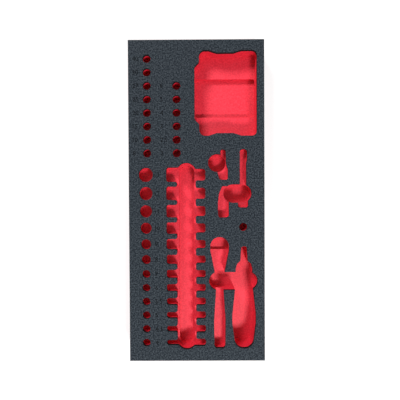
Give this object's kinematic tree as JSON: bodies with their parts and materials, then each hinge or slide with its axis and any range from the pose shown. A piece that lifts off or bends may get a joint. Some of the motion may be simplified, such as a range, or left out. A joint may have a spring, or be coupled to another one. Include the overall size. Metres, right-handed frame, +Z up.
{
  "type": "foam tool insert",
  "caption": "Two-tone foam drawer insert with round holes for sockets, a comb-shaped pocket for long sockets and tool-shaped pockets.",
  "frame": {"origin": "centre of the underside", "axes": "+X across the insert, +Y along its length towards the case pocket, +Z up out of the pockets"},
  "size_m": [0.19, 0.45, 0.04],
  "materials": {
    "red_foam": "matt closed-cell foam",
    "dark_foam": "matt closed-cell foam, finely speckled"
  },
  "bodies": {
    "root": {"base_block": "red_foam", "top_sheet": "dark_foam"}
  },
  "joints": []
}
